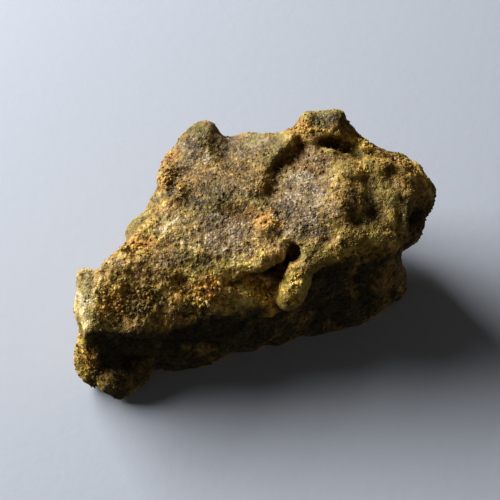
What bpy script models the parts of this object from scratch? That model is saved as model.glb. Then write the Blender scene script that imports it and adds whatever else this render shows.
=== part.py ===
"""A rough hand specimen of epidote in quartz: one broken stone, built as one solid.

Run with blender --background --python part.py, or from Blender's text editor.

The stone lies along X, with its long dark broken wall towards -Y and +Z up. It is put together
as a stone-carver would block it out: angular masses, each the convex hull of the corners that
show on the stone, are fused, clefts and hollows are cut out of them, and the fused body is then
worn, roughened, thinned to few faces and given its rest on the ground. All corners are in
millimetres, measured from a point on the ground under the middle of the stone.
"""

import math

import bmesh
import bpy
from mathutils import Euler, Matrix, Vector, noise

MM = 0.001

# Driving sizes, in millimetres: how fine the skin is made, how far each corner stands proud
# before wear takes it down, and the height at which the stone is cut flat to rest.
FUSE_VOXEL = 0.7
FINISH_VOXEL = 0.6
WEAR_ALLOWANCE = 0.7
GROUND = 0.0

# How near a corner counts as on the cut, in metres.
CUT_REACH = 0.000001

MOST_TRIANGLES = 9300
WEAR_ROUNDS = 3

# Lumps and hollows are uneven: waves along a lump's half size, and the share of it they move.
LUMP_FREQUENCY = 1.1
LUMP_UNEVENNESS = 0.45

# How far a place that broke smooth loses its roughness.
SMOOTHEST = 0.75

# The roughness of the broken stone: wavelength and height of each scale, and how much of it is
# rounded humps (0) or sharp crests (1).
ROUGHNESS = [(11.0, 1.4, 0.0), (5.2, 1.5, 0.4), (2.9, 1.1, 0.7)]

# Where the humps and the crests start in the noise, and the level that a crest is measured from.
HUMPS_START = Vector((3.1, 7.7, 1.3))
CRESTS_START = Vector((9.2, 4.1, 6.6))
CREST_LEVEL = 0.35

# Angular masses of the stone, each named for what shows: the corners of its convex hull.
MASSES = {
    # The long bar at the front: its broken wall, and the slope above it up to the plates.
    "left_block": [
        (-36.4, -13.5, 26.9), (-36.9, -18.0, 22.0), (-37.5, -21.2, 15.0), (-37.9, -23.2, 10.0),
        (-38.2, -25.3, 5.0), (-35.0, -26.4, 1.5), (-35.2, -25.6, 21.0), (-29.7, -25.0, 20.2),
        (-29.6, -13.4, 29.0), (-21.3, -13.0, 28.2), (-21.3, -23.4, 19.6), (-14.9, -21.9, 19.5),
        (-22.3, -23.5, 1.5), (-15.7, -21.9, 1.0), (-36.0, -13.5, 5.0), (-20.0, -10.0, 1.0),
        (-12.0, -13.6, 25.6),
    ],
    "front_bar": [
        (-22.3, -23.5, 1.5), (-15.7, -21.9, 1.0), (-10.1, -20.1, 0.5), (0.0, -17.2, 0.0),
        (8.0, -15.2, 0.0), (16.0, -12.4, 0.0), (-14.9, -21.9, 19.6), (-7.5, -20.8, 20.0),
        (0.0, -19.4, 19.2), (3.9, -18.2, 18.6), (9.0, -14.8, 17.5), (-20.0, -13.4, 27.0),
        (-10.6, -14.6, 25.4), (-2.5, -13.0, 23.4), (8.0, -10.0, 21.0), (-15.0, 0.0, 1.0),
        (15.0, 0.0, 0.0), (0.0, 0.0, 22.0),
    ],
    "right_wall": [
        (9.1, -15.0, 0.5), (18.0, -12.4, 0.0), (21.5, -11.1, 0.0), (27.0, -6.9, 0.0),
        (33.2, -4.1, 1.5), (34.6, -2.5, 3.0), (34.1, -1.9, 8.0), (32.9, -3.7, 16.0),
        (32.3, -4.7, 21.0), (21.6, -9.3, 24.0), (12.9, -10.2, 24.0), (10.0, -13.4, 16.0),
        (35.0, 6.0, 3.0), (10.0, 10.0, 0.0), (30.0, 10.0, 20.0), (8.0, 8.0, 22.0),
    ],
    # The plates above the bar, stepping up to the back.
    "lower_plate": [
        (-28.0, -11.4, 28.4), (-27.0, -7.6, 26.0), (-26.6, -3.6, 24.0), (-25.5, -0.3, 23.0),
        (-23.9, 2.3, 24.0), (-21.9, 3.2, 26.0), (-18.2, 1.7, 30.4), (-22.4, -6.2, 29.6),
        (2.6, -2.0, 31.0), (7.9, -8.6, 29.6), (6.2, -11.4, 28.2), (4.0, -12.0, 27.6),
        (1.1, -13.4, 27.0), (-2.8, -14.0, 26.6), (-10.6, -16.4, 26.8), (-21.2, -13.2, 28.4),
        (-22.0, -8.0, 12.0), (-19.0, 0.0, 10.0), (5.0, -7.0, 22.0), (-5.0, -11.0, 22.0),
    ],
    "plateau": [
        (-21.5, 4.6, 27.0), (-20.3, 9.5, 27.0), (-19.3, 14.4, 27.4), (-18.5, 17.5, 27.8),
        (-15.0, 18.6, 28.4), (-2.2, 20.2, 31.3), (2.7, 19.0, 32.4), (6.6, 17.9, 33.6),
        (-17.8, 3.0, 30.9), (-5.4, 0.0, 32.2), (3.0, -1.0, 31.9), (2.0, 4.0, 33.2),
        (-19.0, 13.0, 6.0), (-13.0, 19.5, 8.0), (8.0, 18.0, 6.0), (-16.0, 0.0, 5.0),
        (6.0, -3.0, 5.0), (9.0, 10.0, 28.0),
    ],
    # The crest that closes the plateau on the right, above the valley.
    "crest": [
        (9.6, 18.6, 35.0), (9.2, 15.0, 35.8), (6.0, 11.8, 35.8), (2.6, 5.6, 35.0),
        (1.6, 3.2, 33.6), (3.0, 18.0, 32.5), (0.0, 12.0, 33.0), (-2.0, 5.0, 32.6),
        (8.0, 12.5, 30.0), (4.0, 4.0, 30.0), (8.0, 17.0, 28.0), (0.0, 10.0, 28.0),
    ],
    "quartz_face": [
        (12.2, 17.5, 32.4), (15.3, 17.1, 33.1), (18.5, 15.4, 33.2), (22.4, 13.4, 32.6),
        (7.9, 11.2, 32.4), (3.9, 5.6, 32.1), (4.3, -2.2, 31.7), (8.5, -8.1, 30.1),
        (10.6, -11.6, 28.7), (16.1, -11.8, 29.0), (20.1, -8.2, 33.2), (18.9, -3.0, 35.6),
        (20.1, 3.0, 35.2), (22.0, 9.0, 34.2), (4.0, 6.0, 10.0), (11.0, -8.0, 21.0),
        (19.0, -7.0, 21.0), (18.0, 15.0, 8.0),
    ],
    "bulge": [
        (19.2, 8.5, 34.6), (28.6, 10.2, 33.4), (34.3, 6.5, 31.0), (34.7, 3.4, 30.4),
        (33.6, -0.8, 29.2), (32.7, -5.2, 28.0), (29.6, -7.9, 27.4), (24.4, -8.9, 27.8),
        (20.1, -8.4, 32.6), (16.0, -11.6, 28.6), (18.4, -3.0, 35.0), (30.0, -5.6, 22.0),
        (18.0, -7.6, 22.0), (34.0, 5.0, 17.0), (35.6, -0.8, 19.0), (20.0, 12.0, 15.0),
    ],
    "right_shoulder": [
        (26.3, 18.1, 31.0), (31.9, 16.9, 30.0), (36.6, 15.5, 27.9), (40.2, 11.8, 23.8),
        (41.7, 11.0, 20.3), (41.3, 10.1, 16.0), (40.5, 7.8, 11.2), (38.9, 7.0, 8.6),
        (36.3, 5.3, 7.6), (34.9, 5.2, 30.1), (35.0, 0.5, 22.0), (33.0, 8.0, 31.2),
        (24.0, 17.0, 6.0), (34.0, 14.0, 6.0), (22.0, 8.0, 5.0), (20.0, 19.0, 12.0),
    ],
    "saddle_behind_bulge": [
        (21.0, 12.0, 32.4), (24.5, 14.5, 31.0), (29.0, 14.8, 30.4), (30.4, 10.0, 32.2),
        (22.0, 17.8, 31.0), (26.4, 18.0, 30.2), (22.0, 12.0, 18.0), (29.0, 12.0, 18.0),
        (24.0, 17.8, 18.0), (20.0, 17.0, 22.0),
    ],
    "top_right_knob": [
        (9.5, 18.7, 33.8), (11.0, 20.0, 34.9), (13.0, 20.9, 36.3), (17.2, 21.9, 37.5),
        (19.9, 22.1, 37.2), (21.3, 20.5, 36.8), (22.6, 18.1, 35.0), (24.0, 18.0, 32.9),
        (15.8, 16.2, 35.9), (12.2, 16.4, 33.6), (21.0, 16.8, 34.6), (12.0, 21.0, 20.0),
        (23.0, 19.0, 20.0), (14.0, 15.0, 29.0), (23.0, 15.0, 29.0),
    ],
    "top_left_knob": [
        (-18.5, 16.9, 27.8), (-16.6, 19.0, 28.3), (-14.4, 21.8, 29.2), (-12.6, 22.9, 30.6),
        (-10.8, 23.3, 31.4), (-9.2, 22.9, 31.5), (-7.8, 21.0, 31.4), (-5.8, 19.2, 30.9),
        (-12.6, 18.6, 33.8), (-9.8, 18.4, 34.1), (-4.0, 15.6, 31.6), (-14.8, 12.6, 30.8),
        (-8.6, 11.4, 32.0), (-16.0, 16.0, 22.0), (-8.0, 21.0, 22.0),
    ],
    # The foot that juts forward under the left block.
    "foot": [
        (-33.4, -28.2, 6.6), (-31.3, -28.4, 2.5), (-28.7, -30.1, 1.5), (-25.4, -29.1, 1.5),
        (-22.4, -26.6, 2.5), (-21.5, -25.2, 4.4), (-31.0, -20.0, 3.0), (-20.0, -20.0, 3.0),
        (-30.4, -28.2, 7.4), (-23.4, -25.6, 7.6),
    ],
    # The keel that the stone stands on, under its right half.
    "keel": [
        (-13.0, -17.0, 1.5), (8.0, -15.0, -0.8), (27.0, -6.5, -0.8), (31.0, 6.0, -0.8),
        (14.0, 15.0, -0.8), (-9.0, 11.0, -0.8), (-16.0, -2.0, 0.4), (-17.0, -16.0, 14.0),
        (30.0, -4.0, 14.0), (33.0, 10.0, 14.0), (12.0, 19.0, 14.0), (-17.0, 14.0, 14.0),
    ],
    # Ledges of the side that faces away, and of the left end.
    "back_ledge": [
        (-8.0, 19.0, 22.0), (10.0, 21.6, 19.0), (24.0, 20.2, 22.0), (-6.0, 21.4, 14.0),
        (12.0, 22.0, 9.0), (22.0, 20.0, 8.0), (-8.0, 12.0, 8.0), (22.0, 12.0, 8.0),
        (8.0, 12.0, 26.0),
    ],
    "back_left_step": [
        (-35.6, -12.0, 20.0), (-27.0, -2.0, 18.0), (-21.6, 8.0, 17.0), (-33.0, -11.0, 10.0),
        (-25.0, -2.0, 8.0), (-18.0, 10.0, 7.0), (-20.0, -12.0, 9.0), (-12.0, 0.0, 14.0),
        (-24.0, -8.0, 25.0),
    ],
}

# Rounded lumps: centre, half sizes along X, Y and Z, and turn about Z in degrees.
LUMPS = {
    "green_lump": ((-24.5, -1.8, 24.1), (2.6, 4.6, 3.3), -24),
    "edge_lump": ((-29.2, -11.4, 27.4), (1.9, 1.7, 1.9), 0),
    "edge_lump_2": ((-27.3, -9.8, 27.4), (1.7, 1.7, 1.9), 0),
    "corner_lump": ((-35.4, -24.8, 8.0), (2.7, 2.4, 2.9), 0),
    "corner_lump_2": ((-33.4, -25.2, 13.4), (2.4, 1.9, 2.6), 0),
    "rim_lump": ((-18.1, 9.1, 28.3), (2.1, 5.3, 2.6), -12),
    "spike": ((-15.6, 4.8, 31.6), (0.9, 2.9, 1.2), -14),
    "orange_ledge": ((5.0, -4.6, 30.8), (3.4, 2.2, 1.5), -25),
    "small_lump": ((4.6, -17.2, 17.0), (2.6, 1.8, 2.0), 25),
    "knob_grain": ((12.0, 18.8, 35.0), (2.4, 2.4, 2.4), 0),
    "shoulder_lump": ((24.9, 16.9, 31.0), (2.5, 1.9, 2.0), -20),
    "shoulder_lump_2": ((30.8, 16.0, 30.2), (2.4, 1.6, 1.5), 0),
    "shoulder_lump_3": ((32.8, 9.6, 30.9), (2.4, 2.9, 1.5), 20),
    "lip": ((29.4, -6.4, 27.4), (4.6, 1.9, 1.7), 14),
    "lip_2": ((33.2, -1.0, 28.8), (1.9, 4.4, 1.9), 0),
    "wall_lump": ((28.0, -8.2, 10.0), (3.0, 2.0, 3.4), 20),
    "wall_lump_2": ((-3.0, -18.6, 10.0), (3.4, 1.6, 2.6), 15),
    "wall_lump_3": ((-14.0, -21.8, 10.5), (3.0, 1.6, 3.0), 10),
}

# The finger that hangs from the bulge: centres and radii down its length.
FINGER = [
    ((13.4, -9.6, 27.4), 2.6), ((11.6, -11.2, 26.8), 2.5), ((10.6, -12.8, 25.6), 2.6),
    ((9.9, -14.2, 24.2), 2.7), ((9.2, -15.2, 22.6), 2.9), ((8.5, -15.8, 20.8), 2.7),
    ((7.6, -16.2, 19.0), 2.3), ((9.6, -13.6, 21.0), 2.4),
]

# Clefts, cut from the fused body: the corners of the convex hull of each cutter.
CLEFTS = {
    "cleft_under_plate": [
        (-3.8, -15.4, 25.2), (1.1, -15.8, 25.6), (5.0, -14.2, 26.2), (8.0, -12.2, 26.9),
        (7.6, -13.6, 21.0), (2.0, -15.0, 22.6), (8.4, -7.0, 25.6), (1.0, -9.2, 24.6),
        (8.0, -8.0, 21.4), (1.0, -10.4, 23.0),
    ],
    "gap_at_plate_corner": [
        (7.7, -9.2, 31.0), (9.4, -7.8, 31.2), (11.4, -10.2, 30.4), (9.4, -12.6, 30.0),
        (7.8, -9.4, 22.0), (9.4, -8.2, 22.0), (10.4, -10.0, 22.6), (8.4, -12.6, 21.4),
    ],
    "cave_under_knob": [
        (14.6, 15.4, 34.2), (19.0, 15.2, 34.6), (22.2, 15.2, 33.6), (22.4, 13.4, 31.8),
        (18.8, 14.8, 32.0), (15.0, 16.2, 32.4), (16.4, 18.6, 33.6), (21.0, 17.8, 33.2),
        (21.4, 17.0, 31.6),
    ],
    "undercut_over_foot": [
        (-34.0, -31.0, 10.2), (-20.0, -29.0, 9.4), (-33.0, -24.6, 8.6), (-21.0, -22.6, 8.0),
        (-34.0, -31.0, 8.4), (-20.0, -29.0, 7.6), (-31.0, -24.2, 9.8), (-22.0, -22.4, 9.2),
    ],
    "groove_under_bulge": [
        (20.0, -12.0, 25.4), (36.0, -8.0, 24.4), (23.0, -6.6, 24.6), (33.4, -3.2, 24.2),
        (20.0, -12.0, 22.6), (36.0, -8.0, 21.6), (24.0, -7.0, 23.0), (33.0, -3.4, 22.6),
    ],
    "notch_at_right": [
        (33.4, -6.4, 18.4), (37.6, -3.0, 18.0), (34.2, -1.6, 16.8), (33.0, -3.8, 16.2),
        (34.4, -5.8, 14.2), (37.6, -2.4, 14.4),
    ],
    "back_cleft": [
        (-2.0, 26.0, 29.0), (4.0, 26.0, 30.0), (2.0, 16.4, 26.0), (1.0, 26.0, 10.0),
        (6.0, 26.0, 12.0), (3.0, 18.6, 14.0),
    ],
}

# Hollows and pits, cut from the fused body: centre, half sizes, and turn about Z in degrees.
HOLLOWS = {
    "bulge_hollow": ((26.4, 0.6, 35.7), (5.8, 7.8, 3.4), 8),
    "pit_1": ((-16.9, 6.2, 31.0), (0.9, 1.4, 2.0), 0),
    "pit_2": ((-13.8, 4.0, 32.4), (0.9, 1.4, 1.7), 20),
    "pit_3": ((-10.3, 12.4, 33.0), (1.0, 0.9, 1.6), 0),
    "wall_pit": ((15.4, -14.2, 11.0), (4.2, 1.9, 2.2), 24),
    "wall_pit_2": ((-9.0, -21.2, 8.0), (3.4, 1.4, 1.4), 28),
    "wall_pit_3": ((24.0, -11.0, 15.0), (1.8, 2.2, 3.2), 0),
    "valley": ((7.6, 10.6, 34.4), (1.0, 6.4, 1.2), -34),
    "end_hollow": ((-38.4, -19.0, 14.0), (2.0, 4.4, 3.0), 0),
    "back_hollow": ((15.0, 23.6, 26.0), (5.0, 3.0, 4.0), 0),
}

# Places where the stone broke smooth: centre and reach.
SMOOTH_PLACES = [
    ((-35.0, -20.0, 23.0), 8.0), ((2.0, 16.0, 32.5), 8.0), ((12.0, 2.0, 33.0), 6.0),
    ((-25.4, -1.2, 24.4), 5.0), ((-6.0, 17.0, 32.0), 4.5), ((-8.0, -5.0, 30.0), 12.0),
    ((-7.0, 8.0, 31.0), 9.0), ((26.0, 2.0, 31.0), 9.0), ((9.8, -14.0, 23.0), 6.5),
]


def clear_scene():
    """Removes every object of the startup scene."""
    for thing in list(bpy.data.objects):
        bpy.data.objects.remove(thing)


def collection(name, helper=False):
    """A collection linked to the scene; a helper's objects are left out of renders."""
    made = bpy.data.collections.new(name)
    bpy.context.scene.collection.children.link(made)
    made.hide_render = helper
    return made


def add_hull(mesh, corners, proud=0.0):
    """Adds the convex hull of some corners to a bmesh; proud moves its corners out."""
    points = [mesh.verts.new(Vector(corner) * MM) for corner in corners]
    made = bmesh.ops.convex_hull(mesh, input=points)
    spare = set(made["geom_interior"] + made["geom_unused"])
    kept = [point for point in points if point not in spare]
    bmesh.ops.delete(mesh, geom=[point for point in points if point in spare], context="VERTS")
    mesh.normal_update()
    for point in kept:
        point.co += point.normal * proud * MM


def add_lump(mesh, centre, half_sizes, turn=0.0):
    """Adds an uneven ellipsoid; its turn about Z is in degrees."""
    turned = Euler((0.0, 0.0, math.radians(turn)))
    place = Matrix.LocRotScale(Vector(centre) * MM, turned, Vector(half_sizes) * MM)
    made = bmesh.ops.create_icosphere(mesh, subdivisions=3, radius=1.0)
    for vert in made["verts"]:
        unevenness = noise.noise(vert.co * LUMP_FREQUENCY + Vector(centre))
        vert.co = place @ (vert.co * (1.0 + LUMP_UNEVENNESS * unevenness))


def object_from(mesh, name, into):
    """Makes a bmesh an object in a collection."""
    data = bpy.data.meshes.new(name)
    mesh.to_mesh(data)
    mesh.free()
    made = bpy.data.objects.new(name, data)
    into.objects.link(made)
    return made


def voxel_remesh(stone, name, size):
    """Adds a modifier that makes one skin of the stone's overlapping masses."""
    fuse = stone.modifiers.new(name, "REMESH")
    fuse.mode = "VOXEL"
    fuse.voxel_size = size * MM


def cut_out(stone, name, mesh, into):
    """Cuts a bmesh's shape out of the stone."""
    cutter = object_from(mesh, name, into)
    cutter.hide_render = True
    cutter.display_type = "WIRE"
    cut = stone.modifiers.new(name, "BOOLEAN")
    cut.operation = "DIFFERENCE"
    cut.object = cutter


def settle(stone):
    """Makes the evaluated shape the stone's own mesh and clears its modifiers."""
    evaluated = stone.evaluated_get(bpy.context.evaluated_depsgraph_get())
    shape = bpy.data.meshes.new_from_object(evaluated)
    stone.modifiers.clear()
    stone.data = shape


def block_out(stone_parts, cutters):
    """Fuses the masses, the lumps and the finger, and cuts the clefts and hollows."""
    mesh = bmesh.new()
    for corners in MASSES.values():
        add_hull(mesh, corners, WEAR_ALLOWANCE)
    for centre, half_sizes, turn in LUMPS.values():
        add_lump(mesh, centre, half_sizes, turn)
    for centre, radius in FINGER:
        add_lump(mesh, centre, (radius, radius, radius))
    stone = object_from(mesh, "stone", stone_parts)
    voxel_remesh(stone, "fuse", FUSE_VOXEL)
    for name, corners in CLEFTS.items():
        cutter = bmesh.new()
        add_hull(cutter, corners)
        cut_out(stone, name, cutter, cutters)
    for name, (centre, half_sizes, turn) in HOLLOWS.items():
        cutter = bmesh.new()
        add_lump(cutter, centre, half_sizes, turn)
        cut_out(stone, name, cutter, cutters)
    voxel_remesh(stone, "skin", FINISH_VOXEL)
    wear = stone.modifiers.new("wear", "SMOOTH")
    wear.factor = 0.5
    wear.iterations = WEAR_ROUNDS
    settle(stone)
    return stone


def keep_main_body(mesh):
    """Deletes all but a bmesh's largest connected body: chips and closed inner hollows go."""
    left = set(mesh.verts)
    bodies = []
    while left:
        body = set()
        edge_of_body = [left.pop()]
        while edge_of_body:
            vert = edge_of_body.pop()
            body.add(vert)
            near = [edge.other_vert(vert) for edge in vert.link_edges]
            reached = [other for other in near if other in left]
            left.difference_update(reached)
            edge_of_body.extend(reached)
        bodies.append(body)
    bodies.sort(key=len)
    for body in bodies[:-1]:
        bmesh.ops.delete(mesh, geom=list(body), context="VERTS")


def smoothness(point):
    """How smooth the stone broke at a point in millimetres, from 0 to 1."""
    most = 0.0
    for centre, reach in SMOOTH_PLACES:
        away = (point - Vector(centre)).length / reach
        most = max(most, 1.0 - away ** 2)
    return most


def roughness(point):
    """The height of the broken surface at a point, both in millimetres."""
    height = 0.0
    for wavelength, tall, crests in ROUGHNESS:
        place = point / wavelength + HUMPS_START * wavelength
        humps = noise.noise(place)
        ridge = CREST_LEVEL - abs(noise.noise(place + CRESTS_START))
        height += tall * (humps * (1.0 - crests) + ridge * crests)
    return height * (1.0 - SMOOTHEST * smoothness(point))


def roughen(stone):
    """Moves the skin in and out along its normals."""
    mesh = bmesh.new()
    mesh.from_mesh(stone.data)
    mesh.normal_update()
    moves = [vert.normal * roughness(vert.co / MM) * MM for vert in mesh.verts]
    for vert, move in zip(mesh.verts, moves):
        vert.co += move
    mesh.to_mesh(stone.data)
    mesh.free()


def thin(stone):
    """Fuses the skin once more and thins it to the number of triangles wanted."""
    voxel_remesh(stone, "reskin", FINISH_VOXEL)
    settle(stone)
    stone.data.calc_loop_triangles()
    fewer = stone.modifiers.new("fewer", "DECIMATE")
    fewer.ratio = MOST_TRIANGLES / len(stone.data.loop_triangles)
    settle(stone)


def give_rest(stone):
    """Cuts the stone flat at the ground, and centres its box on the origin."""
    mesh = bmesh.new()
    mesh.from_mesh(stone.data)
    everything = mesh.verts[:] + mesh.edges[:] + mesh.faces[:]
    ground = Vector((0.0, 0.0, GROUND * MM))
    down = Vector((0.0, 0.0, -1.0))
    bmesh.ops.bisect_plane(
        mesh, geom=everything, dist=CUT_REACH, plane_co=ground, plane_no=down, clear_outer=True)
    bmesh.ops.holes_fill(mesh, edges=[edge for edge in mesh.edges if edge.is_boundary])
    keep_main_body(mesh)
    bmesh.ops.triangulate(mesh, faces=mesh.faces[:])
    bmesh.ops.recalc_face_normals(mesh, faces=mesh.faces[:])
    low = Vector([min(vert.co[axis] for vert in mesh.verts) for axis in range(3)])
    high = Vector([max(vert.co[axis] for vert in mesh.verts) for axis in range(3)])
    middle = (low + high) / 2
    bmesh.ops.translate(mesh, vec=(-middle.x, -middle.y, -low.z), verts=mesh.verts[:])
    mesh.to_mesh(stone.data)
    mesh.free()


def stone_material():
    """Olive epidote with a dull, slightly glassy break."""
    material = bpy.data.materials.new("stone")
    material.use_nodes = True
    surface = material.node_tree.nodes["Principled BSDF"]
    surface.inputs["Base Color"].default_value = (0.24, 0.19, 0.05, 1.0)
    surface.inputs["Roughness"].default_value = 0.6
    surface.inputs["Metallic"].default_value = 0.0
    return material


def main():
    clear_scene()
    stone_parts = collection("epidote_in_quartz")
    cutters = collection("cutters", helper=True)
    stone = block_out(stone_parts, cutters)
    roughen(stone)
    thin(stone)
    give_rest(stone)
    stone.data.materials.append(stone_material())


main()
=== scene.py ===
"""The finish of the epidote in quartz: its broken skin, its crust of grains, floor, light, camera."""

import math

import bpy
import numpy as np
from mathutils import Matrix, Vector, noise


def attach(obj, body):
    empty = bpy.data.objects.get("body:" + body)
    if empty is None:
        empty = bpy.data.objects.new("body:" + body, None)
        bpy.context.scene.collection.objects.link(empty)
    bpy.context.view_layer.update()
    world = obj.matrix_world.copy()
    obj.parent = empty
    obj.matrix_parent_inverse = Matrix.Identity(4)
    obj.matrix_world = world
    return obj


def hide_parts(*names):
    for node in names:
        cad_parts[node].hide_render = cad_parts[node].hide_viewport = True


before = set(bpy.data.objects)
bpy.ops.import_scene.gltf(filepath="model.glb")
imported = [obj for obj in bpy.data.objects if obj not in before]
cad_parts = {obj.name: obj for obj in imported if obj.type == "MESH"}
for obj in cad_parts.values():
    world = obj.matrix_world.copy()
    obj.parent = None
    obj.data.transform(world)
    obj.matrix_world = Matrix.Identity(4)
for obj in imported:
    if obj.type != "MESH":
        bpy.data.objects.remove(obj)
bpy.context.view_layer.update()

MM = 0.001

# Every place below is in millimetres from the point that the stone was drawn from, on the ground
# under its middle. This is where that point lies in the frame.
DRAWN_FROM = np.array((-1.61, 3.55, 0.0))

# The photograph's view: 55 degrees above the floor, 320 mm away, 0.225 mm to each of 500 pixels.
VIEW_ELEVATION = math.radians(55.0)
VIEW_DISTANCE = 320.0
VIEW_TARGET = (0.0, 0.0, 15.0)
PIXEL = 0.225
FRAME_PIXELS = 500
SENSOR = 36.0

# In metres, in the frame: the nearest thing that the camera sees, the point that the lights face,
# and how near to each other two corners of the solid are the same corner.
NEAREST_SEEN = 0.01
STONE_MIDDLE = (0.0, 0.0, 0.015)
DOUBLES_APART = 0.000002

# The skin: how fine it is made, how often and how strongly it is smoothed, its triangles, the band
# above the ground in which its relief fades out, and how far above the ground it stays.
SKIN_VOXEL = 0.3
SKIN_SMOOTHING = 9
SKIN_SMOOTHNESS = 0.5
SKIN_TRIANGLES = 194000
REST_BAND = 1.2
LOWEST = 0.02

# The relief that the skin gets: the wavelength and the height of each scale.
HUMPS = (4.2, 0.34)
KNOBBLES = (1.9, 0.3)
SAND = (0.85, 0.16)
CELLS = (1.5, 0.75)
CREVICES = (2.6, 0.8)

# Where each scale starts in the noise.
HUMPS_START = Vector((1.7, 4.2, 9.1))
KNOBBLES_START = Vector((7.7, 0.4, 3.3))
SAND_START = Vector((3.1, 8.4, 0.6))
CREVICES_START = Vector((2.9, 6.1, 5.5))

# The levels that knobbles, cells and crevices are measured from, how steeply a crevice falls, how
# much of the knobbles a smooth place loses, and the least coarseness that shows.
KNOBBLE_LEVEL = 0.26
CELL_LEVEL = 0.25
CREVICE_LEVEL = 0.12
CREVICE_STEEPNESS = 0.5
KNOBBLES_LOST = 0.5
LEAST_COARSENESS = 0.02

# How smooth a place is where the rock is pink or green: pale rock is wholly smooth.
PINK_SMOOTHNESS = 0.8
GREEN_SMOOTHNESS = 0.6

# How far around a corner the skin is evened out, to tell fine and broad crests from pits.
FINE_ROUNDS = 4
BROAD_ROUNDS = 26

# Places where the stone is made of coarse loose-looking grains: centre, and half sizes.
COARSE = [
    ((-25.0, -20.5, 25.5), (11.0, 6.0, 5.0)), ((-8.0, -18.5, 25.0), (13.0, 5.0, 5.5)),
    ((-17.6, 8.5, 29.6), (4.0, 5.5, 3.5)), ((13.6, 17.6, 36.5), (5.0, 3.4, 3.6)),
    ((25.6, 16.0, 31.8), (4.6, 3.4, 3.2)), ((22.0, -10.4, 28.0), (9.0, 3.0, 3.0)),
    ((9.6, -15.0, 23.5), (4.0, 5.0, 6.5)), ((-34.0, -28.0, 12.0), (4.4, 5.0, 9.0)),
    ((34.0, 12.0, 31.0), (6.0, 5.0, 4.0)), ((-25.0, -9.5, 29.0), (5.0, 3.0, 3.0)),
    ((0.5, -15.6, 21.8), (8.0, 3.4, 3.6)), ((25.0, 15.6, 33.0), (3.4, 2.8, 3.0)),
]

# Single bumps (above 0) and pits (below 0): place, breadth and height.
BUMPS = [
    ((-15.2, 4.2, 31.0), 1.0, 1.3), ((-14.6, 2.6, 31.6), 0.8, 0.9), ((3.4, -5.0, 32.7), 0.7, -0.9),
    ((12.2, 17.0, 37.0), 0.8, -0.7), ((26.6, 13.4, 32.2), 0.9, -0.7), ((-18.6, 9.6, 29.6), 0.8, -0.7),
    ((-16.4, 12.4, 30.6), 0.7, -0.7), ((6.0, -3.0, 33.0), 0.6, -0.6), ((15.8, 14.2, 35.6), 1.0, -1.2),
    ((17.5, 14.2, 35.8), 1.1, -1.6), ((19.2, 14.0, 35.6), 1.2, -1.8), ((20.8, 13.8, 35.0), 1.2, -1.8),
    ((22.3, 14.2, 33.8), 1.1, -1.4), ((23.4, 2.0, 33.8), 2.2, 0.9), ((23.2, -2.0, 34.0), 2.2, 0.8),
    ((29.6, -3.2, 30.7), 1.6, 0.8), ((30.1, 9.8, 33.4), 1.4, 0.7), ((14.0, -12.6, 27.6), 2.0, 0.8),
    ((4.2, -17.8, 17.6), 1.3, 1.5), ((23.8, 18.5, 35.5), 2.4, -1.3), ((26.0, 17.4, 33.8), 2.2, -1.3),
    ((21.8, 19.6, 37.0), 1.8, -0.8), ((25.2, 15.0, 32.7), 2.2, 2.0), ((27.8, 14.4, 32.3), 1.6, 0.6),
    ((-17.6, 3.9, 31.6), 1.4, -1.7), ((9.4, -9.8, 29.0), 1.5, -1.0), ((-4.6, -16.8, 23.6), 2.6, 2.2),
    ((-0.8, -17.0, 21.8), 2.4, 2.1), ((-8.4, -17.3, 25.0), 2.6, 1.6), ((2.4, -17.4, 20.6), 1.8, 1.4),
    ((8.2, -18.0, 20.8), 2.4, 1.3), ((10.4, -17.2, 24.2), 2.2, 0.8), ((23.3, -8.9, 31.2), 2.6, 1.2),
    ((26.8, -8.1, 30.2), 2.4, 1.0), ((30.3, -7.2, 29.3), 2.0, 0.8), ((19.5, -9.8, 30.4), 2.2, 0.7),
    ((37.2, 11.5, 28.2), 2.4, 1.2), ((38.6, 9.4, 26.4), 2.0, 0.9), ((35.4, 8.2, 30.6), 2.0, 0.9),
    ((30.5, -3.0, 30.4), 1.8, 1.0), ((36.5, 0.5, 21.0), 4.0, -2.0), ((37.7, 4.0, 22.5), 3.4, -1.2),
    ((26.4, -3.0, 32.2), 1.5, -0.8), ((37.5, 2.5, 17.0), 4.5, -2.3), ((35.2, 1.4, 14.0), 3.0, -1.2),
    ((36.5, 2.0, 14.0), 6.0, -2.2), ((28.2, 15.8, 32.2), 1.6, -0.9), ((32.2, 13.8, 31.8), 1.4, -0.7),
    ((-8.5, -15.6, 28.4), 2.6, -0.8), ((-5.0, -15.4, 28.0), 2.4, -0.9),
    ((-2.0, -15.0, 27.6), 1.8, -0.7), ((18.4, -11.2, 29.9), 2.0, 0.9), ((9.7, -11.8, 29.2), 1.4, -1.2),
    ((-20.8, 8.5, 27.6), 3.2, -1.1), ((9.6, 19.4, 37.0), 2.4, -1.0), ((-20.6, -25.2, 4.6), 2.8, -1.4),
    ((-37.8, -25.6, 9.6), 2.6, -0.6), ((31.4, 17.0, 31.0), 2.8, -1.3),
]

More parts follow.
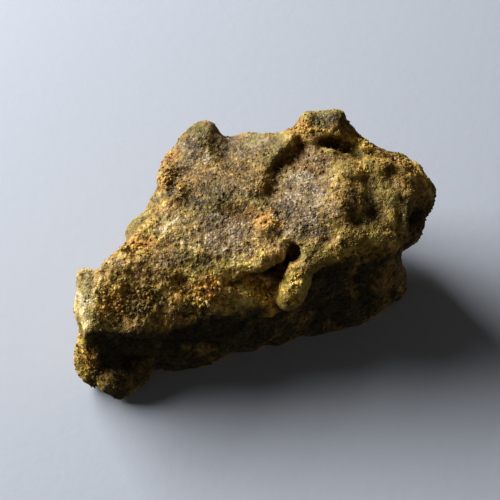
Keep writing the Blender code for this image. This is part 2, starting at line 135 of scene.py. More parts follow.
# Where each kind of rock shows, and where the painted shade lies: centre, and half sizes along X, Y
# and Z.
ZONES = {
    "quartz": [
        ((12.0, 1.0, 33.0), (9.0, 12.5, 6.0)), ((-5.5, -7.0, 30.0), (9.5, 5.5, 4.0)),
        ((-12.0, 15.0, 31.5), (6.0, 4.5, 4.0)), ((-6.0, 17.5, 32.0), (3.5, 5.0, 4.0)),
        ((20.0, 14.0, 8.0), (14.0, 14.0, 9.0)), ((-10.0, 14.0, 14.0), (10.0, 8.0, 9.0)),
        ((32.0, 0.0, 12.0), (6.0, 6.0, 7.0)), ((-30.0, -6.0, 14.0), (9.0, 7.0, 6.0)),
    ],
    "rust": [
        ((4.0, -4.4, 32.0), (4.2, 3.4, 2.8)), ((12.5, 18.5, 35.0), (5.0, 3.2, 3.2)),
        ((-17.5, 15.5, 29.5), (2.8, 4.2, 3.2)), ((-23.5, -9.0, 28.0), (5.5, 3.0, 3.0)),
        ((0.4, -2.4, 31.8), (5.0, 3.0, 2.4)), ((31.0, 12.0, 31.0), (4.0, 3.4, 3.0)),
        ((-28.0, -21.5, 25.0), (4.4, 5.0, 3.5)), ((-13.0, -24.0, 15.0), (1.6, 1.6, 2.0)),
        ((15.0, 9.0, 33.8), (8.0, 2.6, 3.0)), ((11.0, -11.5, 26.0), (3.4, 3.0, 3.0)),
        ((18.0, -10.4, 26.0), (5.0, 3.0, 2.4)), ((-33.0, -25.0, 12.0), (3.4, 4.0, 5.0)),
        ((5.0, 21.0, 20.0), (8.0, 5.0, 6.0)), ((-18.9, 9.0, 29.0), (2.4, 4.6, 3.0)),
        ((-9.5, -17.5, 26.0), (5.0, 2.2, 2.2)),
    ],
    "pale": [
        ((-35.6, -19.0, 24.0), (3.4, 9.5, 8.0)), ((2.0, 16.5, 33.0), (5.5, 3.2, 2.6)),
        ((-17.0, -4.0, 30.2), (3.0, 3.4, 2.2)),
    ],
    "green": [
        ((-25.0, -1.8, 24.6), (4.4, 6.2, 5.4)), ((33.0, -1.0, 28.8), (3.4, 6.5, 4.0)),
        ((17.0, -9.8, 29.4), (7.5, 3.6, 3.0)), ((27.0, -8.0, 27.4), (7.0, 2.6, 2.6)),
        ((10.6, -14.0, 24.4), (5.5, 5.4, 7.6)), ((-2.0, -17.4, 22.4), (5.0, 3.0, 3.0)),
        ((28.5, 2.0, 32.5), (6.0, 6.5, 4.0)), ((24.0, -8.5, 30.0), (7.0, 2.4, 3.0)),
        ((25.6, 15.4, 32.6), (3.0, 2.4, 3.0)), ((19.5, 7.0, 35.6), (4.0, 4.0, 3.0)),
        ((35.5, 13.5, 28.0), (5.0, 4.0, 4.0)), ((-11.0, 20.0, 34.0), (6.0, 5.0, 3.6)),
        ((6.5, 12.5, 35.6), (3.0, 7.5, 3.0)), ((17.5, 22.0, 37.4), (6.0, 3.0, 3.0)),
        # The two thin spots along the plate's lip are a painted highlight on its edge, in the green
        # rock's colours.
        ((0.0, -13.4, 28.6), (8.0, 2.0, 1.8)), ((-10.0, -14.6, 28.2), (6.0, 1.6, 1.6)),
    ],
    "pink": [((0.5, 15.5, 33.0), (8.0, 5.5, 3.0))],
    # Painted shade: darker rock painted in hollows, under overhangs and on faces turned from the
    # light.
    "dark": [
        ((22.0, 1.0, 33.0), (2.6, 7.0, 4.0)), ((-9.0, 2.4, 31.8), (9.0, 2.6, 2.6)),
        ((-16.0, 5.4, 30.4), (3.6, 3.0, 3.0)), ((6.5, 9.5, 33.0), (2.6, 8.0, 2.6)),
        ((26.4, -2.0, 32.0), (3.4, 4.6, 3.0)), ((19.0, 15.0, 33.0), (4.0, 2.4, 2.6)),
        ((-37.0, -24.0, 8.0), (4.0, 5.0, 6.0)), ((39.5, 6.0, 17.0), (4.6, 8.0, 8.0)),
    ],
}

# Painted light and shade: places painted darker (below 1) as shade or lighter (above 1) as light than
# the rock around: centre, half sizes, tone.
LIGHT_AND_SHADE_SPOTS = [
    ((-7.0, 11.0, 32.0), (17.0, 14.0, 9.0), 0.7), ((-10.5, 19.0, 33.0), (6.0, 5.4, 4.6), 0.46),
    ((-7.5, 15.7, 33.4), (2.6, 3.0, 2.6), 1.35), ((0.0, 17.0, 33.0), (8.0, 5.0, 4.0), 0.8),
    ((5.0, 11.0, 35.0), (5.0, 9.0, 4.0), 0.7), ((6.1, 14.6, 35.5), (2.6, 3.0, 2.4), 0.66),
    ((15.6, 6.4, 35.6), (2.4, 2.6, 2.4), 0.8), ((12.0, 1.0, 33.0), (10.0, 13.0, 6.0), 0.7),
    ((12.0, -6.0, 31.5), (7.0, 4.6, 3.0), 0.72), ((11.8, 11.0, 33.8), (4.0, 2.8, 2.4), 0.68),
    ((17.6, 9.8, 35.3), (6.4, 2.8, 2.6), 0.7), ((27.6, 2.4, 32.6), (3.4, 4.0, 3.0), 0.86),
    ((17.0, 19.5, 36.0), (7.0, 5.0, 4.0), 0.66), ((17.2, 19.4, 37.3), (4.0, 3.4, 2.6), 0.5),
    ((12.4, 17.0, 36.6), (2.4, 3.0, 2.4), 1.3), ((19.0, 14.3, 35.2), (4.6, 1.7, 2.4), 0.3),
    ((25.2, 15.4, 33.0), (3.4, 2.6, 3.0), 2.4), ((37.2, 10.2, 28.2), (6.4, 7.4, 5.4), 2.1),
    ((23.8, 6.1, 34.3), (2.8, 3.4, 2.8), 2.0), ((18.6, -1.5, 36.4), (2.2, 4.4, 3.0), 0.75),
    ((25.8, 0.0, 33.0), (2.6, 3.4, 3.0), 0.78), ((20.6, -3.4, 35.4), (2.4, 3.0, 3.0), 0.66),
    ((21.6, -2.6, 34.8), (1.8, 7.0, 3.4), 0.68), ((18.2, 1.0, 36.6), (1.5, 4.6, 2.4), 1.12),
    ((25.5, -4.8, 32.2), (2.4, 2.0, 2.2), 0.75), ((25.6, -1.6, 32.6), (3.0, 3.4, 2.6), 0.72),
    ((16.5, 10.8, 35.0), (6.0, 2.4, 2.6), 0.82), ((19.6, -11.0, 29.4), (5.0, 2.6, 2.8), 2.1),
    ((34.0, -0.6, 30.0), (2.6, 5.0, 3.4), 0.5), ((30.5, -3.7, 30.0), (2.4, 3.6, 2.6), 1.8),
    ((24.0, -8.6, 30.4), (8.4, 2.6, 2.8), 1.8), ((38.5, 5.5, 18.5), (5.0, 8.0, 8.0), 0.6),
    ((-25.0, -2.0, 25.0), (4.0, 6.0, 5.0), 0.68), ((-17.6, 3.9, 31.6), (2.2, 2.6, 2.4), 0.25),
    ((-8.0, 1.0, 31.0), (10.0, 6.0, 4.0), 0.68), ((-6.0, 5.0, 32.3), (8.0, 5.0, 3.0), 0.8),
    ((-3.5, -7.4, 30.4), (4.0, 3.0, 2.4), 0.78), ((-1.6, -6.6, 30.8), (2.6, 2.6, 2.2), 0.78),
    ((-11.6, -5.0, 30.4), (2.6, 3.6, 2.2), 0.8), ((1.4, -0.6, 32.8), (5.0, 5.0, 3.0), 0.66),
    ((4.6, -11.2, 29.4), (3.6, 2.4, 2.0), 1.5), ((26.4, -3.0, 32.2), (2.2, 2.6, 2.4), 0.6),
    ((-8.5, -3.6, 30.7), (6.0, 3.6, 2.4), 0.68), ((6.4, -4.3, 32.3), (2.4, 2.6, 2.2), 1.3),
    ((4.0, -3.8, 31.6), (2.4, 2.4, 2.0), 1.3), ((2.2, 0.6, 33.0), (2.6, 2.4, 2.4), 0.78),
    ((2.8, -4.2, 32.2), (5.4, 3.4, 2.4), 1.25), ((3.4, -10.4, 30.4), (3.4, 2.6, 1.6), 1.3),
    ((-3.6, -14.2, 28.4), (4.4, 2.0, 1.8), 1.4), ((1.0, -13.6, 22.8), (3.4, 1.8, 1.8), 1.9),
    ((-35.5, -17.5, 25.6), (4.0, 5.0, 3.4), 0.74), ((11.0, -2.0, 33.8), (5.0, 3.0, 3.0), 0.85),
    ((-22.0, -9.0, 28.0), (7.0, 5.0, 5.0), 1.25), ((-16.6, -12.0, 29.4), (4.8, 2.8, 2.4), 0.54),
    ((-5.4, -15.3, 27.4), (4.4, 2.2, 2.4), 2.0), ((3.0, -13.6, 28.4), (3.0, 2.0, 1.6), 0.8),
    ((-19.0, -13.6, 28.3), (5.5, 2.4, 2.4), 0.78), ((-2.0, -13.4, 28.0), (11.0, 2.4, 2.4), 1.3),
    ((3.0, -13.4, 26.2), (4.0, 1.8, 1.2), 0.5), ((3.4, -9.9, 23.2), (7.0, 3.0, 2.6), 0.12),
    ((-16.0, -22.0, 21.0), (3.4, 2.0, 1.8), 2.0), ((12.0, -11.6, 30.0), (4.0, 2.2, 2.0), 0.74),
    ((9.4, -10.2, 28.8), (2.2, 2.6, 2.8), 0.3), ((9.6, -14.5, 23.0), (4.4, 5.4, 6.0), 2.6),
    ((4.6, -18.0, 17.4), (2.4, 2.0, 2.4), 2.6), ((-1.0, -16.2, 21.5), (12.0, 3.2, 3.2), 2.6),
    ((-8.0, -17.5, 24.0), (17.0, 4.0, 4.4), 1.75), ((-30.6, -19.8, 25.2), (5.0, 5.0, 3.8), 1.65),
    ((-24.4, -21.5, 23.2), (2.8, 3.0, 3.0), 0.58), ((-20.5, -20.5, 24.5), (5.0, 4.5, 3.5), 0.82),
    ((-9.0, -19.2, 22.8), (3.4, 2.2, 2.0), 1.6), ((3.2, -14.8, 21.8), (2.8, 2.2, 2.4), 1.8),
    ((-36.5, -19.0, 18.0), (4.0, 10.0, 14.0), 1.15), ((-37.0, -25.0, 9.0), (4.0, 6.0, 9.0), 1.6),
    ((-27.0, -26.0, 7.0), (8.0, 6.0, 6.0), 0.4), ((-29.5, -26.0, 12.0), (5.0, 3.0, 6.0), 0.55),
    ((-8.0, -22.5, 15.0), (18.0, 3.5, 6.5), 0.7),
]

# The painted light and shade of places that overlap are multiplied, and kept between these.
DARKEST_PAINTED_SHADE = 0.06
LIGHTEST_PAINTED_LIGHT = 2.1

# The long broken wall, which is painted dark because it lies in deep shade in the photograph:
# how dark its face is, the turn of the face from which it starts to darken,
# how quickly it does, the height of its upper edge, how far around a corner the way that the skin
# faces is evened out, and how ragged the wall's borders are, as wavelength and reach.
WALL_SHADE = (0.22, 0.26, 0.36, 1.0)
WALL_TURN = 0.76
WALL_SHARPNESS = 7.0
WALL_TOP = 25.0
WALL_ROUNDS = 10
WALL_RAGGEDNESS = (1.3, 0.12)

# Places on the wall that stand out into the light and keep the rock's own tone.
WALL_LIGHT_SPOTS = [
    ((4.4, -18.0, 17.2), (3.2, 2.6, 3.0)), ((-13.8, -22.5, 10.9), (1.5, 2.0, 1.5)),
    ((9.2, -17.2, 22.0), (4.6, 4.0, 5.4)), ((-4.0, -17.6, 22.6), (9.0, 3.4, 4.0)),
    ((-36.4, -25.6, 11.0), (4.6, 5.0, 12.0)), ((-16.5, -23.0, 20.5), (7.0, 3.0, 2.2)),
]

# The borders of the kinds of rock: where they start in the noise, their wandering as wavelength and
# reach, how firm they are, and how ragged. SPOT_FIRMNESS is that of all other places.
ZONE_SEED = Vector((5.3, 2.2, 8.8))
ZONE_WOBBLE = (3.6, 2.6)
ZONE_FIRMNESS = 1.6
ZONE_RAGGEDNESS = 0.7
SPOT_FIRMNESS = 2.0

# Colours of the rock and of the paper: red, green and blue from 0 to 255.
TAN_OLIVE = (175, 142, 70)
MUSTARD = (183, 144, 46)
OLIVE = (134, 112, 34)
YELLOW_GREEN = (180, 158, 66)
STRAW = (216, 180, 92)
CREAM = (236, 213, 150)
BROWN = (112, 82, 34)
BLACK_BROWN = (54, 38, 14)
ORANGE = (202, 140, 62)
TAN = (212, 166, 88)
GREY_VIOLET = (166, 138, 112)
PALE_GREY = (202, 186, 156)
WHITE = (236, 230, 214)
SMOKE = (110, 92, 64)
PINK_BROWN = (178, 142, 98)
PALE_GREEN = (192, 176, 110)
PAPER = (190, 197, 210)

# The grains that each kind of rock is made of, and how often each colour comes.
PALETTES = {
    "epidote": (
        (TAN_OLIVE, 28), (MUSTARD, 22), (OLIVE, 14), (YELLOW_GREEN, 10), (STRAW, 14), (CREAM, 4),
        (BROWN, 8),
    ),
    "quartz": (
        (GREY_VIOLET, 26), (PALE_GREY, 20), (WHITE, 8), (TAN_OLIVE, 22), (STRAW, 14), (SMOKE, 10),
    ),
    "rust": ((ORANGE, 34), (TAN, 28), (MUSTARD, 26), (BROWN, 12)),
    "pale": ((CREAM, 30), (PALE_GREY, 26), (PALE_GREEN, 22), (STRAW, 22)),
    "green": ((YELLOW_GREEN, 34), (PALE_GREEN, 24), (OLIVE, 16), (STRAW, 16), (MUSTARD, 10)),
    "pink": ((PINK_BROWN, 44), (TAN, 20), (GREY_VIOLET, 22), (STRAW, 14)),
    # Grains in the painted shade are darker.
    "dark": ((MUSTARD, 28), (BROWN, 22), (OLIVE, 24), (STRAW, 16), (BLACK_BROWN, 10)),
}

# Grains to each square millimetre, and their usual breadth in millimetres, in each kind of rock.
GRAIN_DENSITY = {
    "epidote": 1.3, "quartz": 1.1, "rust": 1.7, "pale": 0.3, "green": 0.6, "pink": 0.4, "dark": 1.8,
}
GRAIN_BREADTH = {
    "epidote": 0.5, "quartz": 0.42, "rust": 0.6, "pale": 0.36, "green": 0.42, "pink": 0.36,
    "dark": 0.62,
}
MOST_DENSE = 3.0
COARSE_DENSITY = 2.4
COARSE_BREADTH = 0.78
BREADTH_SPREAD = 0.3
BROADEST_GRAIN = 1.5

# Each kind of grain: the planes that cut a ball of 1 mm, each with its distance from the middle,
# and how the rest is stretched.
GRAIN_KINDS = {
    "block": ([((1, 0.2, 0.1), 0.32), ((-0.2, 1, 0.3), 0.34)], (1.0, 0.8, 0.75)),
    "splinter": ([((0.1, 1, 0.2), 0.26)], (1.35, 0.7, 0.6)),
    "flake": ([((0.1, 0.2, 1), 0.18)], (1.1, 1.0, 0.7)),
}

# How dark and how light a grain's own colour may be, and how deep a grain may be sunk and how far
# coarse grains stand out, as shares of their breadth. Below GRAINS_START there are none, and each
# one's middle stays GRAIN_CLEARANCE of its breadth above the ground.
GRAIN_SHADES = (0.8, 1.15)
DEEPEST_SUNK = -0.3
COARSE_RISE = 0.15
GRAINS_START = 0.7
GRAIN_CLEARANCE = 0.75

# The pieces that the grains are joined to, and where the plates, the bulging end and the upper
# side begin: the plates along Y, the bulging end along X, the upper side along Z.
GRAIN_PIECES = {
    "plate_grains": 0, "slope_grains": 1, "wall_grains": 2, "bulge_grains": 3, "back_grains": 4,
}
PLATES_FROM = -13.0
BULGE_FROM = 3.0
UPPER_SIDE = 24.0
GRAINS_A_PIECE = 5200
SEED = 41

# The order in which the kinds of rock and the painted shade are laid over the skin's epidote, and how
# strongly each covers it, and the order in which the grains are given theirs.
ZONE_STRENGTHS = {"quartz": 0.8, "green": 0.85, "dark": 0.75, "pink": 0.85, "pale": 0.9, "rust": 0.8}
GRAIN_ZONES = ("quartz", "dark", "green", "pink", "pale", "rust")

# The colours of each kind of rock in the skin, from its darkest grains to its lightest: the place
# on the ramp, and the colour. Earth lies in patches between the epidote.
ROCK_RAMPS = {
    "epidote": (
        (0.2, BROWN), (0.36, OLIVE), (0.5, TAN_OLIVE), (0.62, MUSTARD), (0.76, STRAW), (0.92, CREAM),
    ),
    "quartz": ((0.2, SMOKE), (0.4, GREY_VIOLET), (0.56, TAN_OLIVE), (0.72, PALE_GREY), (0.9, WHITE)),
    "rust": ((0.2, BROWN), (0.45, ORANGE), (0.65, MUSTARD), (0.85, TAN)),
    "pale": ((0.15, YELLOW_GREEN), (0.4, PALE_GREEN), (0.6, CREAM), (0.9, WHITE)),
    "green": ((0.2, OLIVE), (0.45, YELLOW_GREEN), (0.7, PALE_GREEN), (0.9, STRAW)),
    "pink": ((0.2, SMOKE), (0.42, PINK_BROWN), (0.62, GREY_VIOLET), (0.82, TAN)),
    "earth": ((0.2, BROWN), (0.4, SMOKE), (0.56, PINK_BROWN), (0.72, TAN), (0.9, PALE_GREY)),
    # The painted shade's colours, from dark to light.
    "dark": ((0.25, BLACK_BROWN), (0.42, BROWN), (0.58, OLIVE), (0.74, MUSTARD), (0.92, STRAW)),
}

# How a grain gets its colour: partly by its own chance, mostly from the clouds and patches it is in.
COARSE_CHANCE = 0.22
FINE_CHANCE = 0.17
CLOUD_DRIFT = 1.25
PATCH_DRIFT = 1.25
DRIFT_START = -0.92

# Painted shade in pits and painted light on crests: the gain of each height, and the tints of pits and
# of crests.
HEIGHT_SHADING = {
    "fine_height": (2.2, (0.38, 0.31, 0.21, 1.0), (1.25, 1.25, 1.23, 1.0)),
    "broad_height": (0.9, (0.6, 0.5, 0.36, 1.0), (1.15, 1.14, 1.1, 1.0)),
}
PIT_END = 0.12
CREST_END = 0.88

# The epidote's slow drift of hue, from greener to redder: the place on the ramp, and the tint.
HUE_RAMP = (
    (0.36, (0.88, 1.0, 0.84, 1.0)), (0.5, (1.0, 0.985, 0.95, 1.0)), (0.66, (1.05, 0.95, 0.92, 1.0)),
)

# How deep the coarse grains' sides lie in the skin's fine relief, beside the fine grains' sides.
COARSE_SIDES = 1.4


def linear(colour):
    """A colour seen on a screen, from 0 to 255, as the amounts of light that Blender mixes."""
    share = np.array(colour, float) / 255.0
    return np.where(share <= 0.04045, share / 12.92, ((share + 0.055) / 1.055) ** 2.4)


def rgba(colour):
    """A named colour for a shader's socket."""
    return (*linear(colour), 1.0)


def grey(amount):
    """The same amount of red, green and blue, for a shader's socket."""
    return (amount, amount, amount, 1.0)


def select_only(piece):
    """Makes one object the selected and active one."""
    bpy.ops.object.select_all(action="DESELECT")
    piece.select_set(True)
    bpy.context.view_layer.objects.active = piece


def apply_modifier(piece, kind, **settings):
    """Adds a modifier, sets it and applies it, as by hand."""
    select_only(piece)
    bpy.ops.object.modifier_add(type=kind)
    modifier = piece.modifiers[-1]
    for name, value in settings.items():
        setattr(modifier, name, value)
    bpy.ops.object.modifier_apply(modifier=modifier.name)


def corners_of(mesh):
    """A mesh's corners in millimetres from the drawing's point, and their normals."""
    places = np.zeros(len(mesh.vertices) * 3)
    mesh.vertices.foreach_get("co", places)
    normals = np.zeros(len(mesh.vertices) * 3)
    mesh.vertices.foreach_get("normal", normals)
    return places.reshape(-1, 3) / MM - DRAWN_FROM, normals.reshape(-1, 3)


def zone_shares(places):
    """How strongly each kind of rock shows at each place, from 0 to 1, with wandering borders."""
    wavelength, reach = ZONE_WOBBLE
    wander = np.array([noise.noise_vector(Vector(place) / wavelength + ZONE_SEED) for place in places])
    fine = np.array([noise.noise(Vector(place) + ZONE_SEED) for place in places])
    moved = places + wander * reach
    shares = {}
    for zone, spots in ZONES.items():
        share = np.zeros(len(places))
        for centre, half_sizes in spots:
            away = np.linalg.norm((moved - np.array(centre)) / np.array(half_sizes), axis=1)
            share = np.maximum(share, ZONE_FIRMNESS * (1.0 - away))
        shares[zone] = np.clip(share + ZONE_RAGGEDNESS * fine * (share > 0), 0.0, 1.0)
    return shares


def spot_share(places, centre, half_sizes):
    """How strongly one round place covers each point, from 0 to 1."""
    away = np.linalg.norm((places - np.array(centre)) / np.array(half_sizes), axis=1)
    return np.clip(SPOT_FIRMNESS * (1.0 - away), 0.0, 1.0)


def spots_share(places, spots):
    """How strongly a list of round places covers each point, from 0 to 1."""
    share = np.zeros(len(places))
    for centre, half_sizes in spots:
        share = np.maximum(share, spot_share(places, centre, half_sizes))
    return share


def painted_light_and_shade_at(places):
    """The painted light and shade at each place, as a share of the rock's colour: 1 where nothing
    changes it.
    """
    painted_light_and_shade = np.ones(len(places))
    for centre, half_sizes, change in LIGHT_AND_SHADE_SPOTS:
        painted_light_and_shade *= 1.0 + (change - 1.0) * spot_share(places, centre, half_sizes)
    return np.clip(painted_light_and_shade, DARKEST_PAINTED_SHADE, LIGHTEST_PAINTED_LIGHT)


def relief(place, softness, coarseness):
    """How far the broken skin stands out at a place, in millimetres."""
    point = Vector(place)
    humps = noise.noise(point / HUMPS[0] + HUMPS_START)
    knobbles = KNOBBLE_LEVEL - abs(noise.noise(point / KNOBBLES[0] + KNOBBLES_START))
    sand = noise.noise(point / SAND[0] + SAND_START)
    height = HUMPS[1] * humps + KNOBBLES[1] * knobbles * (1.0 - KNOBBLES_LOST * softness)
    height += SAND[1] * sand * (1.0 - softness)
    if coarseness > LEAST_COARSENESS:
        near, next_near = noise.voronoi(point / CELLS[0])[0][:2]
        cells = min(2.0 * CELL_LEVEL, next_near - near) - CELL_LEVEL
        fold = abs(noise.noise(point / CREVICES[0] + CREVICES_START))
        crevice = min(0.0, CREVICE_LEVEL - fold * CREVICE_STEEPNESS)
        height += coarseness * (CELLS[1] * cells + CREVICES[1] * crevice)
    return height


def bumps_at(places):
    """The height that the single bumps and pits add at each place."""
    height = np.zeros(len(places))
    for centre, breadth, rise in BUMPS:
        away = np.linalg.norm(places - np.array(centre), axis=1) / breadth
        height += rise * np.exp(-away ** 2)
    return height


def sides_of(mesh):
    """The corners at the two ends of each edge, and how many edges meet at each corner."""
    sides = np.zeros(len(mesh.edges) * 2, int)
    mesh.edges.foreach_get("vertices", sides)
    first, second = sides.reshape(-1, 2).T
    size = len(mesh.vertices)
    return first, second, np.bincount(first, minlength=size) + np.bincount(second, minlength=size)


def neighbours_mean(values, first, second, count):
    """The mean of each corner's neighbours' values, which have three numbers each."""
    size = len(values)
    total = np.column_stack([
        np.bincount(first, values[second, side], size) + np.bincount(second, values[first, side], size)
        for side in range(3)
    ])
    return total / np.maximum(count, 1)[:, None]


def standing_out(mesh, rounds):
    """How far each corner stands out from the skin around it: above 0 on crests, below 0 in pits."""
    places, normals = corners_of(mesh)
    even, first, second, count = places, *sides_of(mesh)
    for turn in range(rounds):
        even = neighbours_mean(even, first, second, count)
    return ((places - even) * normals).sum(axis=1)


def wall_shade_share(mesh):
    """How much painted shade each corner of the long broken wall gets, from the way that the skin
    faces there.
    """
    places, normals = corners_of(mesh)
    even, first, second, count = normals, *sides_of(mesh)
    for turn in range(WALL_ROUNDS):
        even = neighbours_mean(even, first, second, count)
    facing = -even[:, 1] / np.maximum(np.linalg.norm(even, axis=1), 0.001)
    wavelength, reach = WALL_RAGGEDNESS
    ragged = np.array([noise.noise(Vector(place) / wavelength) for place in places])
    share = np.clip((facing + reach * ragged - WALL_TURN) * WALL_SHARPNESS, 0.0, 1.0)
    share *= np.clip(WALL_TOP - places[:, 2] + ragged, 0.0, 1.0)
    return share * (1.0 - spots_share(places, WALL_LIGHT_SPOTS))


def make_skin():
    """The stone's skin: the solid's own surface, made fine, softened and broken up again."""
    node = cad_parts["stone"]
    skin = bpy.data.objects.new("stone_skin", node.data.copy())
    bpy.context.scene.collection.objects.link(skin)
    skin.data.materials.clear()
    select_only(skin)
    bpy.ops.object.mode_set(mode="EDIT")
    bpy.ops.mesh.select_all(action="SELECT")
    bpy.ops.mesh.remove_doubles(threshold=DOUBLES_APART)
    bpy.ops.object.mode_set(mode="OBJECT")
    apply_modifier(skin, "REMESH", mode="VOXEL", voxel_size=SKIN_VOXEL * MM)
    apply_modifier(skin, "SMOOTH", factor=SKIN_SMOOTHNESS, iterations=SKIN_SMOOTHING)
    places, normals = corners_of(skin.data)
    shares = zone_shares(places)
    soft = shares["pale"] + PINK_SMOOTHNESS * shares["pink"] + GREEN_SMOOTHNESS * shares["green"]
    soft = np.clip(soft, 0.0, 1.0)
    coarse = spots_share(places, COARSE)
    heights = np.array([relief(*one) for one in zip(places, soft, coarse)]) + bumps_at(places)
    low = places[:, 2].min()
    fade = np.clip((places[:, 2] - low) / REST_BAND, 0.0, 1.0)
    moved = places + normals * (heights * fade)[:, None]
    moved[:, 2] = np.maximum(moved[:, 2], LOWEST)
    skin.data.vertices.foreach_set("co", ((moved + DRAWN_FROM) * MM).ravel())
    skin.data.update()
    share = SKIN_TRIANGLES / sum(len(face.vertices) - 2 for face in skin.data.polygons)
    apply_modifier(skin, "DECIMATE", ratio=min(1.0, share), use_collapse_triangulate=True)
    places, normals = corners_of(skin.data)
    painted = zone_shares(places)
    painted["fine_height"] = standing_out(skin.data, FINE_ROUNDS)
    painted["broad_height"] = standing_out(skin.data, BROAD_ROUNDS)
    # Painted light and shade, kept for the material.
    painted["painted_light_and_shade"] = painted_light_and_shade_at(places)
    painted["wall"] = wall_shade_share(skin.data)
    for name, values in painted.items():
        layer = skin.data.attributes.new(name, "FLOAT", "POINT")
        layer.data.foreach_set("value", values)
    select_only(skin)
    bpy.ops.object.shade_smooth()
    return skin


def make_grain(name, cuts, stretch):
    """One grain, 1 mm across, cut to flat faces and stretched: its corners and its triangles."""
    bpy.ops.object.select_all(action="DESELECT")
    bpy.ops.mesh.primitive_ico_sphere_add(subdivisions=1, radius=0.5)
    grain = bpy.context.object
    grain.name = name
    bpy.ops.object.mode_set(mode="EDIT")
    for plane, distance in cuts:
        bpy.ops.mesh.select_all(action="SELECT")
        away = Vector(plane).normalized()
        bpy.ops.mesh.bisect(plane_co=away * distance, plane_no=away, use_fill=True, clear_outer=True)
    bpy.ops.mesh.select_all(action="SELECT")
    bpy.ops.transform.resize(value=stretch)
    bpy.ops.mesh.quads_convert_to_tris()
    bpy.ops.mesh.normals_make_consistent(inside=False)
    bpy.ops.object.mode_set(mode="OBJECT")
    corners = np.array([vert.co[:] for vert in grain.data.vertices])
    triangles = np.array([face.vertices[:] for face in grain.data.polygons])
    bpy.data.objects.remove(grain)
    return corners, triangles


def turns(count, chance):
    """Random turns, as 3 by 3 matrices."""
    quarter = chance.normal(size=(count, 4))
    w, x, y, z = (quarter / np.linalg.norm(quarter, axis=1, keepdims=True)).T
    rows = [
        [1 - 2 * (y * y + z * z), 2 * (x * y - z * w), 2 * (x * z + y * w)],
        [2 * (x * y + z * w), 1 - 2 * (x * x + z * z), 2 * (y * z - x * w)],
        [2 * (x * z - y * w), 2 * (y * z + x * w), 1 - 2 * (x * x + y * y)],
    ]
    return np.array(rows).transpose(2, 0, 1)


def join_grains(name, kinds, places, breadths, colours, chance):
    """One piece of many grains: each is a turned and sized copy of one of the kinds."""
    which = chance.integers(len(kinds), size=len(places))
    all_corners, all_triangles, all_colours, start = [], [], [], 0
    for number, (corners, triangles) in enumerate(kinds):
        mine = which == number
        count = int(mine.sum())
        turned = np.einsum("nij,vj->nvi", turns(count, chance), corners)
        placed = turned * breadths[mine][:, None, None] + places[mine][:, None, :]
        all_corners.append(placed.reshape(-1, 3))
        steps = np.arange(count)[:, None, None] * len(corners)
        all_triangles.append((triangles[None] + steps).reshape(-1, 3) + start)
        all_colours.append(np.repeat(colours[mine], len(corners), axis=0))
        start += count * len(corners)
    mesh = bpy.data.meshes.new(name)
    corners = (np.concatenate(all_corners) + DRAWN_FROM) * MM
    triangles = np.concatenate(all_triangles)
    mesh.vertices.add(len(corners))
    mesh.vertices.foreach_set("co", corners.ravel())
    mesh.loops.add(triangles.size)
    mesh.loops.foreach_set("vertex_index", triangles.ravel())
    mesh.polygons.add(len(triangles))
    mesh.polygons.foreach_set("loop_start", np.arange(0, triangles.size, 3))
    mesh.update(calc_edges=True)
    layer = mesh.attributes.new("grain_colour", "FLOAT_COLOR", "POINT")
    tints = np.concatenate(all_colours)
    layer.data.foreach_set("color", np.column_stack([tints, np.ones(len(tints))]).ravel())
    piece = bpy.data.objects.new(name, mesh)
    bpy.context.scene.collection.objects.link(piece)
    return piece


def scatter_places(skin, chance):
    """Places all over the skin, as many to each square millimetre as the densest rock has."""
    mesh = skin.data
    mesh.calc_loop_triangles()
    triangles = np.zeros(len(mesh.loop_triangles) * 3, int)
    mesh.loop_triangles.foreach_get("vertices", triangles)
    triangles = triangles.reshape(-1, 3)
    places, normals = corners_of(mesh)
    a, b, c = (places[triangles[:, side]] for side in range(3))
    areas = np.linalg.norm(np.cross(b - a, c - a), axis=1) / 2
    count = int(areas.sum() * MOST_DENSE)
    chosen = chance.choice(len(triangles), size=count, p=areas / areas.sum())
    first, second = chance.random((2, count, 1))
    fold = first + second > 1
    first, second = np.where(fold, 1 - first, first), np.where(fold, 1 - second, second)
    where = a[chosen] + first * (b[chosen] - a[chosen]) + second * (c[chosen] - a[chosen])
    wall = np.zeros(len(places))
    mesh.attributes["wall"].data.foreach_get("value", wall)
    return where, normals[triangles[chosen]].mean(axis=1), wall[triangles[chosen]].mean(axis=1)


def rock_at(places, chance):
    """The kind of rock of the grain at each place."""
    shares = zone_shares(places)
    rock = np.full(len(places), "epidote", dtype=object)
    for zone in GRAIN_ZONES:
        rock[chance.random(len(places)) < shares[zone]] = zone
    return rock


def piece_of(places, normals):
    """Which piece each grain belongs to: by where it lies on the stone."""
    number = np.full(len(places), GRAIN_PIECES["slope_grains"])
    upper, lower = places[:, 2] > UPPER_SIDE, places[:, 2] < UPPER_SIDE
    number[(places[:, 1] > PLATES_FROM) & upper] = GRAIN_PIECES["plate_grains"]
    number[(places[:, 0] > BULGE_FROM) & upper] = GRAIN_PIECES["bulge_grains"]
    number[(normals[:, 1] < 0.0) & lower] = GRAIN_PIECES["wall_grains"]
    number[(normals[:, 1] >= 0.0) & lower] = GRAIN_PIECES["back_grains"]
    return number


